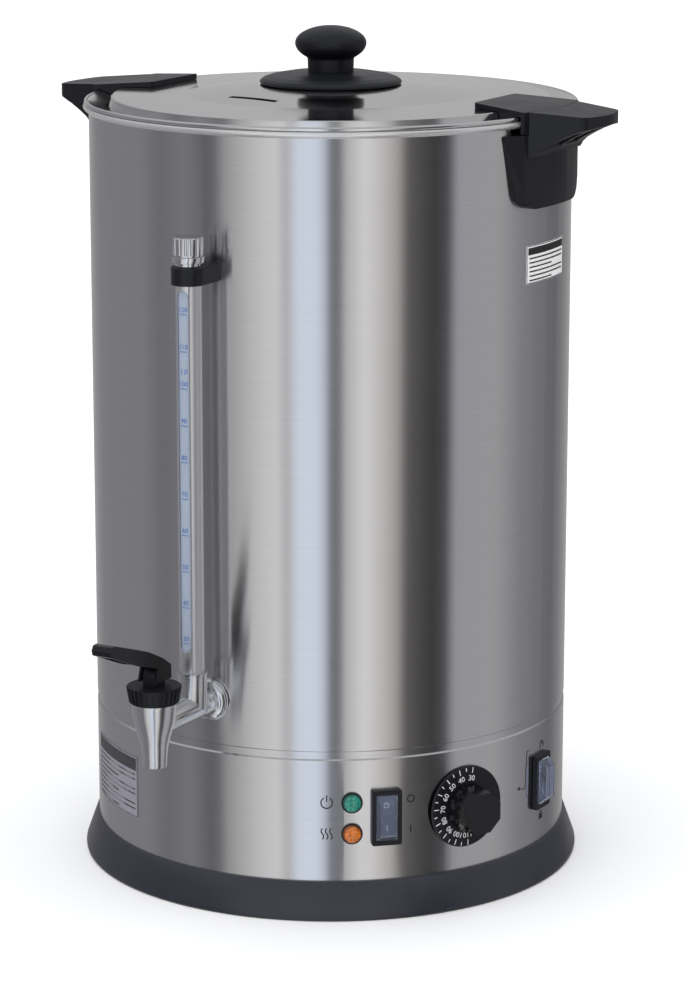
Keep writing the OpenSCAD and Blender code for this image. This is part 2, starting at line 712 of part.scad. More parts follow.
module tap_escutcheon() color(polished) translate([0, 0, tap_z]) rotate([90, 0, 0])
    rotate_extrude() polygon(concat(
        [[shank_r + contact, 160.1], [14.4, 160.1]], arc([9.3, 161.2], 5.2, 0, 82, 9),
        [[shank_r + contact, 166.4]]
    ));

// Washers either side of the tank wall, the spacer between the skins, and the gauge's seal
module tap_seals() color("white") {
    translate([0, 0, tap_z]) rotate([90, 0, 0]) {
        tube(12, shank_r + contact, 147.1, 148.9);
        tube(11, shank_r + contact, 150.5, 158.7);
    }
    at_gauge() tube(6.15, 5.55, 150, 156);
}

module tap_backnut() color(steel) translate([0, 0, tap_z]) rotate([90, 0, 0]) difference() {
    translate([0, 0, 142.1]) cylinder(r = 13, h = 5, $fn = 6);
    rod(shank_r + contact, 140, 148);
}

module tap_bonnet() color(black) at_tap() difference() {
    ribs = 28;
    union() {
        translate([0, 0, bonnet_low_z]) cylinder(r1 = 15, r2 = 16.9, h = bonnet_top_z - bonnet_low_z);
        for (i = [0:ribs - 1]) rotate([0, 0, i * 360 / ribs])
            translate([14.7, -0.6, bonnet_low_z + 0.8]) rotate([0, 9.6, 0]) cube([1.2, 1.2, 10]);
        translate([-4.4, -6, bonnet_top_z - 0.5]) cube([8.8, 12, lever_pin_z - bonnet_top_z + 0.5]);
        translate([-4.4, 0, lever_pin_z]) rotate([0, 90, 0]) cylinder(r = 6, h = 8.8);
    }
    rod(13 + contact, bonnet_low_z - 1, 163.2);
    rod(9, 160, 165.2);
    rod(3.3, 160, 173.4);
    translate([-10, 0, lever_pin_z]) rotate([0, 90, 0]) cylinder(r = 1.5, h = 20);
}

module lever_pin() color(steel) at_tap() translate([-6.1, 0, lever_pin_z]) rotate([0, 90, 0])
    cylinder(r = 1.45, h = 12.2);

// Side view of the lever: distance in front of the pin and height above the surface
lever_outline = [
    [8, 171.5], [5, 181], [28, 188], [46, 195.4], [59, 201], [59.8, 204.2], [58, 207.2],
    [54.5, 207.5], [30, 199.3], [16, 194.3], [0, 186.6], [-9.6, 180.2], [-9.6, 171.5]
];
lever_hollow = [
    [-8, 170], [-8, 179.3], [0.4, 184.8], [16.5, 192.4], [30.5, 197.4], [52, 204.6],
    [55.5, 204.4], [56, 196], [46, 190], [20, 176], [12, 170]
];

module side_view(outline, width) translate([-width / 2, 0, 0]) rotate([90, 0, 90])
    linear_extrude(width) polygon([for (p = outline) [-p[0], p[1]]]);

module tap_lever() color(black) at_tap() difference() {
    side_view(lever_outline, 14);
    side_view(lever_hollow, 10.8);
    translate([-6.2, 0, lever_pin_z]) rotate([0, 90, 0]) cylinder(r = 1.53, h = 12.4);
}

module tap_stem() color(steel) at_tap() {
    rod(3.2, 140, 169);
    tube(9, 3.2 - eps, 154.4, 155.6);
}

module tap_seat_cup() color("white") at_tap() difference() {
    rotate_extrude() polygon([
        [0, seat_z + 0.4], [5.3, seat_z + 0.4], [8, seat_z + 5.8], [8, 143], [6, 146], [0, 146]
    ]);
    rod(3.25, 139.5, 150);
}

// Closing spring between the stem's collar and the bonnet
module tap_spring() color("gray") at_tap() {
    turns = 3;
    coil_r = 5.6;
    steps = 16;
    wire([for (i = [0:turns * steps]) let (a = 360 * i / steps)
        [coil_r * cos(a), coil_r * sin(a),
         spring_low_z + (spring_top_z - spring_low_z) * i / (turns * steps)]], 0.4, 6, [0, 0, 1]);
}

// ---- sight gauge ---------------------------------------------------------------------

module gauge_sleeve() color("lightgray") at_gauge() difference() {
    tube(sleeve_r, sleeve_r - 1.1, sleeve_low_z, sleeve_top_z);
    translate([-window_w / 2, -20, window_low_z + window_w / 2])
        cube([window_w, 20, window_top_z - window_low_z - window_w]);
    for (z = [window_low_z + window_w / 2, window_top_z - window_w / 2])
        translate([0, 0, z]) rotate([90, 0, 0]) cylinder(r = window_w / 2, h = 20);
}

module gauge_glass() color("azure", 0.4) at_gauge() tube(5.5, 4.2, 149.5, 430.3);
module gauge_scale() color("lightsteelblue", 0.6) at_gauge()
    tube(sleeve_r - 1.15, sleeve_r - 1.55, sleeve_low_z, sleeve_top_z);

module gauge_bracket() color(black) difference() {
    union() {
        at_gauge() rod(10.9, bracket_z, bracket_z + bracket_h);
        translate([-10.9, -gauge_y, bracket_z]) cube([21.8, gauge_y - shell_r + 5, bracket_h]);
    }
    at_gauge() rod(sleeve_r + contact, bracket_z - 1, bracket_z + bracket_h + 1);
    rod(shell_r + contact, bracket_z - 1, bracket_z + bracket_h + 1);
    translate([0, 0, bracket_screw_z]) rotate([90, 0, 0]) {
        rod(2, 150, 170);
        rod(3.6, shell_r + 5.9, 176);
    }
}

module gauge_collar() color(polished) at_gauge() difference() {
    top = sleeve_top_z + 6.8;
    union() {
        rod(8.5, sleeve_top_z, top);
        rod(10.3, sleeve_top_z + 2.8, top);
    }
    rod(5.6, sleeve_top_z - 1, 430.4);
    rod(5.3, 430, top + 1);
}

module gauge_cap() color(polished) at_gauge() difference() {
    low = sleeve_top_z + 6.9;
    flutes = 16;
    union() {
        rod(9.6, low, low + 11.2);
        translate([0, 0, low + 11.2 - eps]) cylinder(r1 = 9.6, r2 = 8.9, h = 0.8);
        rod(5.2, 431.4, low + 1);
    }
    for (i = [0:flutes - 1]) rotate([0, 0, i * 360 / flutes]) translate([10.1, 0, low + 1])
        cylinder(r = 1.1, h = 14, $fn = 24);
    rod(4.15, 431, 434.3);
}

module gauge_plug() color("white") at_gauge() rod(3.9, 424, 431.3);

// ---- adhesive plates -------------------------------------------------------------------

module safety_plate() color("white")
    wrap(80.9, 99.9, 406.4, 430.9, shell_r + contact, shell_r + 0.35);
module reset_plate() color("lightgray")
    wrap(-47.7, -23.8, 46.5, 88.4, shell_r + contact, shell_r + 0.35);

outer_shell();
base_band();
inner_tank();
base_ring();
base_plate();
feet();
case_screws();
tie_bolts();
heat_plate();
heating_element();
heat_shield();
thermostat_body();
sensor_bulbs();
cutout_body();
terminal_block();
earth_stud();
wiring_loom();
cord_gland();
power_switch_housing();
power_cover();
mode_switch_housing();
mode_cover();
lamp_bodies();
power_lamp_lens();
heating_lamp_lens();
handle_left();
handle_right();
handle_screws();
tap_body();
tap_escutcheon();
tap_seals();
tap_backnut();
tap_bonnet();
lever_pin();
tap_spring();
gauge_sleeve();
gauge_glass();
gauge_scale();
gauge_bracket();
gauge_collar();
safety_plate();
reset_plate();
thermostat_shaft();
thermostat_dial();
thermostat_knob();
reset_button();
power_rocker();
mode_rocker();
tap_lever();
tap_stem();
tap_seat_cup();
gauge_cap();
gauge_plug();
lid_pan();
lid_ear_left();
lid_ear_right();
ear_screws();
lid_knob();
knob_guard();
knob_screw();
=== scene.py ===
"""Brew kettle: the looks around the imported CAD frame. Metres, +Z up, the tap towards -Y."""
import json
import math

import bmesh
import bpy
from mathutils import Matrix, Vector


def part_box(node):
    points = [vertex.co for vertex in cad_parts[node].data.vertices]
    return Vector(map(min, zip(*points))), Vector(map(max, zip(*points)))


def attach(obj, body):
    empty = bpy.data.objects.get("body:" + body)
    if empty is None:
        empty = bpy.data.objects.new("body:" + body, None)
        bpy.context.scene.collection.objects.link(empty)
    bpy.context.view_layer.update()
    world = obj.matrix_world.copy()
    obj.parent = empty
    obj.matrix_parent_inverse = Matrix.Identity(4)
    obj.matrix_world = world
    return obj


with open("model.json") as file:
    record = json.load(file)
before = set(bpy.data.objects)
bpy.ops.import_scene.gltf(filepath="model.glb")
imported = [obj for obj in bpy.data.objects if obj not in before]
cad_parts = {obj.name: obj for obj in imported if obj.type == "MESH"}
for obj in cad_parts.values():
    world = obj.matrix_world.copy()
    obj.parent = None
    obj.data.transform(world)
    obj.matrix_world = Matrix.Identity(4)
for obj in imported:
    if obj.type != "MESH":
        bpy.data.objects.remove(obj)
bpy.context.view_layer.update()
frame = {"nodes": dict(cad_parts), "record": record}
NODES = frame["nodes"]
MM = 0.001


# ---- sizes read from the frame ------------------------------------------------

def middle(node):
    low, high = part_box(node)
    return (low + high) / 2


SHELL_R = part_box("outer_shell")[1].x
GAUGE = middle("gauge_glass")
FILM_R = (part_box("gauge_scale")[1].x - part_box("gauge_scale")[0].x) / 2


def azimuth_of(node):
    """Azimuth of a node on the shell, in degrees from the front towards +X."""
    centre = middle(node)
    return math.degrees(math.atan2(centre.x, -centre.y))


POWER_AZ = azimuth_of("power_switch_housing")
MODE_AZ = azimuth_of("mode_switch_housing")
LAMP_AZ = azimuth_of("lamp_bodies")
DIAL_AZ = azimuth_of("thermostat_dial")
PANEL_Z = middle("thermostat_dial").z
DIAL_R = (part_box("thermostat_dial")[1].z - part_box("thermostat_dial")[0].z) / 2


def on_wall(azimuth, z, out=0.0, radius=SHELL_R):
    """Matrix of a local frame on the shell: X to the right, Y up, Z outwards."""
    a = math.radians(azimuth)
    turn = Matrix.Rotation(a, 4, "Z") @ Matrix.Rotation(math.radians(90), 4, "X")
    place = Vector((math.sin(a) * (radius + out), -math.cos(a) * (radius + out), z))
    return Matrix.Translation(place) @ turn


# ---- material building blocks ---------------------------------------------------

class Nodes:
    """A material with a Principled shader, and short calls to add nodes to it."""

    def __init__(self, name, **constants):
        self.material = bpy.data.materials.new(name)
        self.material.use_nodes = True
        self.tree = self.material.node_tree
        self.shader = self.tree.nodes["Principled BSDF"]
        for socket, value in constants.items():
            self.shader.inputs[socket.replace("_", " ")].default_value = value

    def add(self, kind, **settings):
        node = self.tree.nodes.new(kind)
        for key, value in settings.items():
            setattr(node, key, value)
        return node

    def link(self, source, target):
        self.tree.links.new(source, target)

    def noise(self, scale, stretch=(1, 1, 1), detail=3.0, roughness=0.5):
        where = self.add("ShaderNodeTexCoord")
        mapping = self.add("ShaderNodeMapping")
        mapping.inputs["Scale"].default_value = stretch
        texture = self.add("ShaderNodeTexNoise")
        texture.inputs["Scale"].default_value = scale
        texture.inputs["Detail"].default_value = detail
        texture.inputs["Roughness"].default_value = roughness
        self.link(where.outputs["Object"], mapping.inputs["Vector"])
        self.link(mapping.outputs["Vector"], texture.inputs["Vector"])
        return texture.outputs["Fac"]

    def spread(self, factor, low, high, start=0.3, end=0.7):
        """Maps a noise between start and end to a value between low and high."""
        node = self.add("ShaderNodeMapRange")
        for socket, value in zip(("From Min", "From Max", "To Min", "To Max"), (start, end, low, high)):
            node.inputs[socket].default_value = value
        self.link(factor, node.inputs["Value"])
        return node.outputs["Result"]

    def blend(self, factor, first, second):
        node = self.add("ShaderNodeMix", data_type="RGBA")
        node.inputs["A"].default_value = (*first, 1)
        node.inputs["B"].default_value = (*second, 1)
        self.link(factor, node.inputs["Factor"])
        return node.outputs["Result"]

    def colour(self, output):
        self.link(output, self.shader.inputs["Base Color"])

    def roughness(self, output):
        self.link(output, self.shader.inputs["Roughness"])

    def bump(self, height, strength, distance):
        node = self.add("ShaderNodeBump")
        node.inputs["Strength"].default_value = strength
        node.inputs["Distance"].default_value = distance
        self.link(height, node.inputs["Height"])
        self.link(node.outputs["Normal"], self.shader.inputs["Normal"])


def darker(colour, factor):
    return tuple(channel * factor for channel in colour)


# ---- materials -----------------------------------------------------------------

def brushed(name, colour, roughness, stretch, anisotropic=0.7, turn=0.25):
    """Brushed metal: fine scratches along the directions that stretch keeps low."""
    m = Nodes(name, Metallic=1.0, Anisotropic=anisotropic, Anisotropic_Rotation=turn)
    tangent = m.add("ShaderNodeTangent", direction_type="RADIAL", axis="Z")
    m.link(tangent.outputs["Tangent"], m.shader.inputs["Tangent"])
    grain = m.noise(1.0, stretch, detail=4.0, roughness=0.7)
    smudge = m.noise(9.0, detail=2.0)
    m.colour(m.blend(m.spread(grain, 0.0, 1.0), darker(colour, 0.93), colour))
    total = m.add("ShaderNodeMath", operation="ADD")
    m.link(m.spread(grain, roughness - 0.02, roughness + 0.02), total.inputs[0])
    m.link(m.spread(smudge, -0.015, 0.015), total.inputs[1])
    m.roughness(total.outputs["Value"])
    m.bump(grain, 0.03, 0.00003)
    return m.material


def polished(name, colour, roughness, smear=0.03):
    """Polished or plated metal with faint wipe marks."""
    m = Nodes(name, Metallic=1.0)
    wipe = m.noise(45.0, (1, 1, 3), detail=5.0, roughness=0.6)
    m.colour(m.blend(m.spread(wipe, 0.0, 1.0), darker(colour, 0.93), colour))
    m.roughness(m.spread(wipe, roughness, roughness + smear))
    m.bump(wipe, 0.03, 0.0001)
    return m.material


def spun(name, colour, roughness, metallic=1.0):
    """Polished sheet with faint turning rings about the vertical axis."""
    m = Nodes(name, Metallic=metallic)
    where = m.add("ShaderNodeTexCoord")
    flatten = m.add("ShaderNodeVectorMath", operation="MULTIPLY")
    flatten.inputs[1].default_value = (1, 1, 0)
    length = m.add("ShaderNodeVectorMath", operation="LENGTH")
    rings = m.add("ShaderNodeTexNoise", noise_dimensions="1D")
    rings.inputs["Scale"].default_value = 900.0
    rings.inputs["Detail"].default_value = 4.0
    m.link(where.outputs["Object"], flatten.inputs[0])
    m.link(flatten.outputs["Vector"], length.inputs[0])
    m.link(length.outputs["Value"], rings.inputs["W"])
    wipe = m.noise(20.0, detail=4.0)
    m.colour(m.blend(m.spread(rings.outputs["Fac"], 0.0, 1.0), darker(colour, 0.95), colour))
    m.roughness(m.spread(wipe, roughness, roughness + 0.06))
    m.bump(rings.outputs["Fac"], 0.04, 0.00003)
    return m.material


def plastic(name, colour, roughness, grain=1800.0, depth=0.25, worn=1.25, coat=0.0,
            gloss=0.35):
    """Moulded plastic with a spark-eroded grain and faint dusty patches."""
    m = Nodes(name, Coat_Weight=coat, Coat_Roughness=0.12, IOR=1.48, Specular_IOR_Level=gloss)
    fine = m.noise(grain, detail=2.0)
    dust = m.noise(28.0, detail=4.0)
    m.colour(m.blend(m.spread(dust, 0.0, 1.0), colour, darker(colour, worn)))
    m.roughness(m.spread(dust, roughness - 0.04, roughness + 0.05))
    m.bump(fine, depth, 0.00006)
    return m.material


def clear(name, colour, roughness, ior=1.45):
    """Clear plastic or glass with faint haze."""
    m = Nodes(name, Transmission_Weight=0.92, IOR=ior)
    haze = m.noise(60.0, detail=3.0)
    m.colour(m.blend(m.spread(haze, 0.0, 1.0), darker(colour, 0.96), colour))
    m.roughness(m.spread(haze, roughness, roughness + 0.05))
    return m.material


def lens(name, colour, node):
    """Ribbed translucent lamp lens: a bright face inside a collar darkened with painted shade."""
    m = Nodes(name, Transmission_Weight=0.25, IOR=1.5, Coat_Weight=0.8, Coat_Roughness=0.05)
    where = m.add("ShaderNodeTexCoord")
    offset = m.add("ShaderNodeVectorMath", operation="SUBTRACT")
    offset.inputs[1].default_value = middle(node)
    across = m.add("ShaderNodeVectorMath", operation="CROSS_PRODUCT")
    a = math.radians(LAMP_AZ)
    across.inputs[1].default_value = (math.sin(a), -math.cos(a), 0)
    reach = m.add("ShaderNodeVectorMath", operation="LENGTH")
    m.link(where.outputs["Object"], offset.inputs[0])
    m.link(offset.outputs["Vector"], across.inputs[0])
    m.link(across.outputs["Vector"], reach.inputs[0])
    ribs = m.noise(700.0, detail=1.0)
    face = m.blend(m.spread(ribs, 0.0, 1.0), darker(colour, 0.45), darker(colour, 1.1))
    # Past 4.9 to 5.6 mm from the lens axis the colour falls to 0.3 of the lens colour: painted shade at
    # the rim of the dome.
    rim_painted_shade = m.add("ShaderNodeMix", data_type="RGBA")
    rim_painted_shade.inputs["B"].default_value = (*darker(colour, 0.3), 1)
    m.link(m.spread(reach.outputs["Value"], 0.0, 1.0, 4.9 * MM, 5.6 * MM), rim_painted_shade.inputs["Factor"])
    m.link(face, rim_painted_shade.inputs["A"])
    m.colour(rim_painted_shade.outputs["Result"])
    m.roughness(m.spread(ribs, 0.10, 0.18))
    m.bump(ribs, 0.2, 0.0002)
    return m.material


def printed(name, colour, roughness=0.4):
    """Printed ink, slightly uneven."""
    m = Nodes(name)
    blot = m.noise(1500.0, detail=2.0)
    m.colour(m.blend(m.spread(blot, 0.0, 1.0), darker(colour, 0.88), colour))
    m.roughness(m.spread(blot, roughness, roughness + 0.1))
    return m.material


# How a brushed grain is stretched: low along the scratches, high across them
AROUND = (9.0, 9.0, 2600.0)
UPRIGHT = (2600.0, 2600.0, 12.0)
MATERIALS = {
    "brushed_steel": brushed("shell_steel", (0.705, 0.70, 0.705), 0.19, AROUND, 0.95),
    "polished_steel": spun("lid_steel", (0.76, 0.755, 0.75), 0.09),
    "plated_brass": polished("bright_plating", (0.74, 0.745, 0.76), 0.08),
    "zinc_screw": polished("zinc_plating", (0.58, 0.58, 0.60), 0.28),
    "aluminium_cast": polished("cast_aluminium", (0.62, 0.62, 0.63), 0.42, 0.12),
    "element_sheath": polished("element_sheath", (0.16, 0.15, 0.15), 0.45, 0.15),
    "brass_stud": polished("turned_brass", (0.72, 0.55, 0.26), 0.22),
    "copper_bulb": polished("drawn_copper", (0.72, 0.40, 0.25), 0.30),
    "slate_plastic": plastic("slate_plastic", (0.022, 0.024, 0.032), 0.30, 1300.0, gloss=0.5),
    "black_plastic": plastic("black_plastic", (0.006, 0.0065, 0.009), 0.38),
    "gloss_black": plastic("gloss_black", (0.004, 0.0042, 0.005), 0.18, 2500.0, 0.05, coat=0.2),
    "red_plastic": plastic("red_plastic", (0.45, 0.02, 0.015), 0.30),
    "ivory_plastic": plastic("ivory_plastic", (0.62, 0.58, 0.47), 0.45, worn=0.9),
    "phenolic": plastic("phenolic", (0.20, 0.11, 0.06), 0.50),
    "lead_insulation": plastic("lead_sleeving", (0.35, 0.03, 0.02), 0.40),
    "rubber": plastic("rubber", (0.018, 0.018, 0.019), 0.70, 900.0, 0.4),
    "seal_silicone": plastic("silicone", (0.60, 0.60, 0.55), 0.55, worn=0.94),
    "clear_cover": clear("clear_cover", (0.62, 0.68, 0.82), 0.05, 1.22),
    "sight_glass": clear("sight_glass", (0.93, 0.97, 0.99), 0.03, 1.25),
    # The film's dark grey-blue is partly its own tint and partly painted shade from inside the sleeve.
    "scale_film": plastic("scale_film", (0.33, 0.38, 0.47), 0.32, worn=0.93),
    "lamp_green": lens("green_lens", (0.010, 0.34, 0.24), "power_lamp_lens"),
    "lamp_amber": lens("amber_lens", (0.85, 0.22, 0.012), "heating_lamp_lens"),
    "label_film": plastic("label_film", (0.27, 0.26, 0.30), 0.38, worn=0.95, gloss=0.5),
    "upright_steel": brushed("sleeve_steel", (0.87, 0.87, 0.88), 0.34, UPRIGHT, turn=0.0),
    "satin_plating": polished("satin_plating", (0.74, 0.745, 0.76), 0.18),
    "bright_label": plastic("bright_label", (0.84, 0.84, 0.83), 0.35, worn=0.95),
    "rocker_plastic": plastic("rocker_plastic", (0.035, 0.048, 0.078), 0.25, gloss=0.5),
    "tank_steel": spun("tank_steel", (0.78, 0.775, 0.77), 0.22, 0.75),
}
INK_BLACK = printed("black_ink", (0.012, 0.012, 0.014))
INK_WHITE = printed("white_ink", (0.85, 0.85, 0.85))
INK_BLUE = printed("blue_ink", (0.006, 0.11, 0.40))
INK_GREY = printed("grey_ink", (0.045, 0.045, 0.05))
# Nodes whose look differs from the slot that the record gives them
SPECIAL = {
    "inner_tank": "tank_steel",
    "gauge_sleeve": "upright_steel", "safety_plate": "bright_label", "tap_body": "satin_plating",
    "power_rocker": "rocker_plastic", "mode_rocker": "rocker_plastic",
}

# ---- carried-over CAD nodes -----------------------------------------------------

# Widths of the rounded edges, in millimetres
BEVELS = {
    "handle_left": 1.6, "handle_right": 1.6, "lid_ear_left": 1.2, "lid_ear_right": 1.2,
    "gauge_bracket": 0.8, "tap_bonnet": 0.35, "power_switch_housing": 0.5,
    "mode_switch_housing": 0.5, "power_rocker": 0.4, "mode_rocker": 0.4, "gauge_sleeve": 0.2,
    "gauge_cap": 0.25, "base_ring": 0.4, "power_cover": 0.5, "mode_cover": 0.5,
    "cutout_body": 0.8, "terminal_block": 0.6, "gauge_collar": 0.3, "tap_body": 0.3,
}


def soften(piece, width):
    """Joins split vertices and rounds the hard edges, as a moulding or casting has them."""
    weld = piece.modifiers.new("weld", "WELD")
    weld.merge_threshold = 0.00001
    bevel = piece.modifiers.new("bevel", "BEVEL")
    bevel.width = width * MM
    bevel.segments = 3
    bevel.limit_method = "ANGLE"
    bevel.angle_limit = math.radians(34)
    bevel.harden_normals = True


slot_of = {row["node"]: row["material_slot"] for row in frame["record"]["subparts"]}
for node, piece in NODES.items():
    piece.data.materials.clear()
    piece.data.materials.append(MATERIALS[SPECIAL.get(node, slot_of[node])])
    if node in BEVELS:
        soften(piece, BEVELS[node])

# ---- mesh helpers ----------------------------------------------------------------


def place(name, mesh, body, material, matrix=None, slot=None):
    """A new piece: its mesh is moved by the matrix, and it rides on a CAD body."""
    if matrix:
        mesh.transform(matrix)
    piece = bpy.data.objects.new(name, mesh)
    bpy.context.scene.collection.objects.link(piece)
    mesh.materials.append(material)
    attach(piece, body)
    return piece


def ribbon_mesh(name, strokes, thickness):
    """Flat printed shapes: each stroke is a closed outline, raised by its ink's thickness."""
    bm = bmesh.new()
    for outline in strokes:
        low = [bm.verts.new((x, y, 0)) for x, y in outline]
        high = [bm.verts.new((x, y, thickness)) for x, y in outline]
        bm.faces.new(list(reversed(low)))
        bm.faces.new(high)
        for i in range(len(outline)):
            j = (i + 1) % len(outline)
            bm.faces.new((low[i], low[j], high[j], high[i]))
    bmesh.ops.recalc_face_normals(bm, faces=bm.faces)
    mesh = bpy.data.meshes.new(name)
    bm.to_mesh(mesh)
    bm.free()
    return mesh


def wrapped(mesh, azimuth, z, radius):
    """Wraps a flat mesh, X to the right and Y up, round a vertical cylinder."""
    for vertex in mesh.vertices:
        x, y, out = vertex.co
        a = math.radians(azimuth) + x / radius
        r = radius + out
        vertex.co = (math.sin(a) * r, -math.cos(a) * r, z + y)
    return mesh


def bar(x, y, w, h, steps=1):
    """Outline of a rectangle about (x, y), with its long sides cut in steps."""
    low = [(x - w / 2 + w * i / steps, y - h / 2) for i in range(steps + 1)]
    high = [(x + w / 2 - w * i / steps, y + h / 2) for i in range(steps + 1)]
    return low + high


def ring_strokes(radius, width, start=0.0, end=360.0, steps=40, x=0.0, y=0.0):
    """Outlines of short quads that follow an arc of the given width."""
    strokes = []
    for i in range(steps):
        a = math.radians(start + (end - start) * i / steps)
        b = math.radians(start + (end - start) * (i + 1) / steps)
        inner, outer = radius - width / 2, radius + width / 2
        strokes.append([(x + inner * math.cos(a), y + inner * math.sin(a)),
                        (x + outer * math.cos(a), y + outer * math.sin(a)),
                        (x + outer * math.cos(b), y + outer * math.sin(b)),
                        (x + inner * math.cos(b), y + inner * math.sin(b))])
    return strokes


def path_strokes(points, width):
    """Outlines of a line of the given width through points."""
    strokes = []
    for (x0, y0), (x1, y1) in zip(points, points[1:]):
        length = math.hypot(x1 - x0, y1 - y0)
        nx, ny = (y0 - y1) / length * width / 2, (x1 - x0) / length * width / 2
        strokes.append([(x0 + nx, y0 + ny), (x0 - nx, y0 - ny), (x1 - nx, y1 - ny), (x1 + nx, y1 + ny)])
    return strokes


def digits_mesh(text, size, thickness):
    """A number as a mesh, centred, in Blender's own font."""
    curve = bpy.data.curves.new("digits", "FONT")
    curve.body = text
    curve.size = size
    curve.align_x = "CENTER"
    curve.align_y = "CENTER"
    curve.extrude = thickness / 2
    curve.resolution_u = 3
    holder = bpy.data.objects.new("digits", curve)
    bpy.context.scene.collection.objects.link(holder)
    bpy.context.view_layer.update()
    mesh = bpy.data.meshes.new_from_object(holder.evaluated_get(bpy.context.evaluated_depsgraph_get()))
    bpy.data.objects.remove(holder)
    return mesh


def joined(name, meshes):
    bm = bmesh.new()
    for mesh in meshes:
        bm.from_mesh(mesh)
        bpy.data.meshes.remove(mesh)
    mesh = bpy.data.meshes.new(name)
    bm.to_mesh(mesh)
    bm.free()
    return mesh


def ink_on_shell(name, strokes, azimuth, z, material, thickness=0.00006, out=0.00004):
    mesh = wrapped(ribbon_mesh(name, strokes, thickness), azimuth, z, SHELL_R + out)
    return place(name, mesh, "kettle", material)


# ---- thermostat dial ---------------------------------------------------------------

DIAL_FACE = 2.1 * MM
DIAL_LOW, DIAL_HIGH = 30, 110
DIAL_TURN = 24
DIAL_START = -10
INK = 0.08 * MM
marks = []
for value in range(DIAL_LOW, DIAL_HIGH + 1, 5):
    long_tick = value % 10 == 0
    angle = math.radians(90 + DIAL_START + DIAL_TURN * (value - DIAL_LOW) / 10)
    inner, outer = DIAL_R * (0.83 if long_tick else 0.88), DIAL_R * 0.965
    tick = path_strokes([(inner * math.cos(angle), inner * math.sin(angle)),
                         (outer * math.cos(angle), outer * math.sin(angle))], 0.55 * MM)
    marks.append(ribbon_mesh("tick", tick, INK))
    if long_tick:
        number = digits_mesh(str(value), 5.2 * MM, INK)
        number.transform(Matrix.Translation((0, DIAL_R * 0.70, INK / 2)))
        number.transform(Matrix.Rotation(angle - math.radians(90), 4, "Z"))
        marks.append(number)
place("dial_marks", joined("dial_marks", marks), "dial_assembly", INK_WHITE,
      on_wall(DIAL_AZ, PANEL_Z, DIAL_FACE))

# ---- sight gauge scale ---------------------------------------------------------------

MARK_LOW = 185.6 * MM
MARK_STEP = 23.63 * MM
FIRST_MARK = 30
CUP_Z = 362 * MM
scale = []
for step in range(10):
    value = FIRST_MARK + 10 * step
    z = MARK_LOW + MARK_STEP * step
    line = ribbon_mesh("line", [bar(0, 0, 5.2 * MM, 0.45 * MM, 6)], INK)
    scale.append(wrapped(line, 0, z, FILM_R))
    number = digits_mesh(str(value), 4.3 * MM, INK)
    number.transform(Matrix.Translation((0, 3.0 * MM, 0)))
    scale.append(wrapped(number, 0, z, FILM_R + 0.02 * MM))
cup = [[(-1.7 * MM, 1.6 * MM), (-1.2 * MM, -1.6 * MM), (1.2 * MM, -1.6 * MM), (1.7 * MM, 1.6 * MM)]]
cup += ring_strokes(1.1 * MM, 0.4 * MM, -80, 80, 10, 1.6 * MM, 0.2 * MM)
scale.append(wrapped(ribbon_mesh("cup", cup, INK), 0, CUP_Z, FILM_R))
scale_mesh = joined("scale_marks", scale)
scale_mesh.transform(Matrix.Translation((0, GAUGE.y, 0)))
place("scale_marks", scale_mesh, "kettle", INK_BLUE)

# ---- panel symbols ---------------------------------------------------------------------

LINE = 0.8 * MM
SIGN = 3.7 * MM
LAMP_SIGN_AZ = LAMP_AZ - 6.0
SWITCH_SIGN_AZ = POWER_AZ + 6.0
MODE_SIGN_AZ = MODE_AZ + 1.0


def power_symbol(size):
    return ring_strokes(size, LINE, 120, 420, 30) + path_strokes([(0, 0.2 * size), (0, 1.35 * size)], LINE)


def heat_symbol(size):
    strokes = []
    for column in (-1, 0, 1):
        wave = [(column * size * 0.75 + 0.22 * size * math.sin(math.radians(30 * k)),
                 size * (k / 6 - 1)) for k in range(13)]
        strokes += path_strokes(wave, LINE)
    return strokes


lamp_half = (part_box("lamp_bodies")[1].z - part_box("lamp_bodies")[0].z) / 2 - 7 * MM
ink_on_shell("power_symbol", power_symbol(SIGN), LAMP_SIGN_AZ, PANEL_Z + lamp_half, INK_BLACK)
ink_on_shell("heat_symbol", heat_symbol(SIGN), LAMP_SIGN_AZ, PANEL_Z - lamp_half, INK_BLACK)
ink_on_shell("off_symbol", ring_strokes(2.3 * MM, LINE), SWITCH_SIGN_AZ, PANEL_Z + 10.8 * MM, INK_BLACK)
ink_on_shell("on_symbol", path_strokes([(0, -2.6 * MM), (0, 2.6 * MM)], LINE), SWITCH_SIGN_AZ,
             PANEL_Z - 9.9 * MM, INK_BLACK)
arrow = path_strokes([(-14.5 * MM, 24.1 * MM), (-17 * MM, 24.1 * MM), (-17.5 * MM, 22 * MM),
                      (-19 * MM, -0.5 * MM), (-20 * MM, -1 * MM), (-25.5 * MM, 0.3 * MM)], 0.55 * MM)
arrow.append([(-28.2 * MM, 0.6 * MM), (-25.2 * MM, -1.0 * MM), (-25.4 * MM, 1.8 * MM)])
ink_on_shell("mode_arrow", arrow, MODE_AZ, PANEL_Z, INK_BLACK)
dial_sign = ring_strokes(2.6 * MM, LINE, -50, 230, 26) + path_strokes([(0, 0), (1.5 * MM, 1.5 * MM)], LINE)
ink_on_shell("variable_symbol", dial_sign, MODE_SIGN_AZ, PANEL_Z + 24 * MM, INK_BLACK)
lock_sign = [bar(0, -1.2 * MM, 5 * MM, 3.6 * MM)]
lock_sign += ring_strokes(1.6 * MM, LINE, 0, 180, 16, 0, 0.8 * MM)
ink_on_shell("preset_symbol", lock_sign, MODE_SIGN_AZ, PANEL_Z - 25 * MM, INK_BLACK)

# ---- rocker symbols ------------------------------------------------------------------------


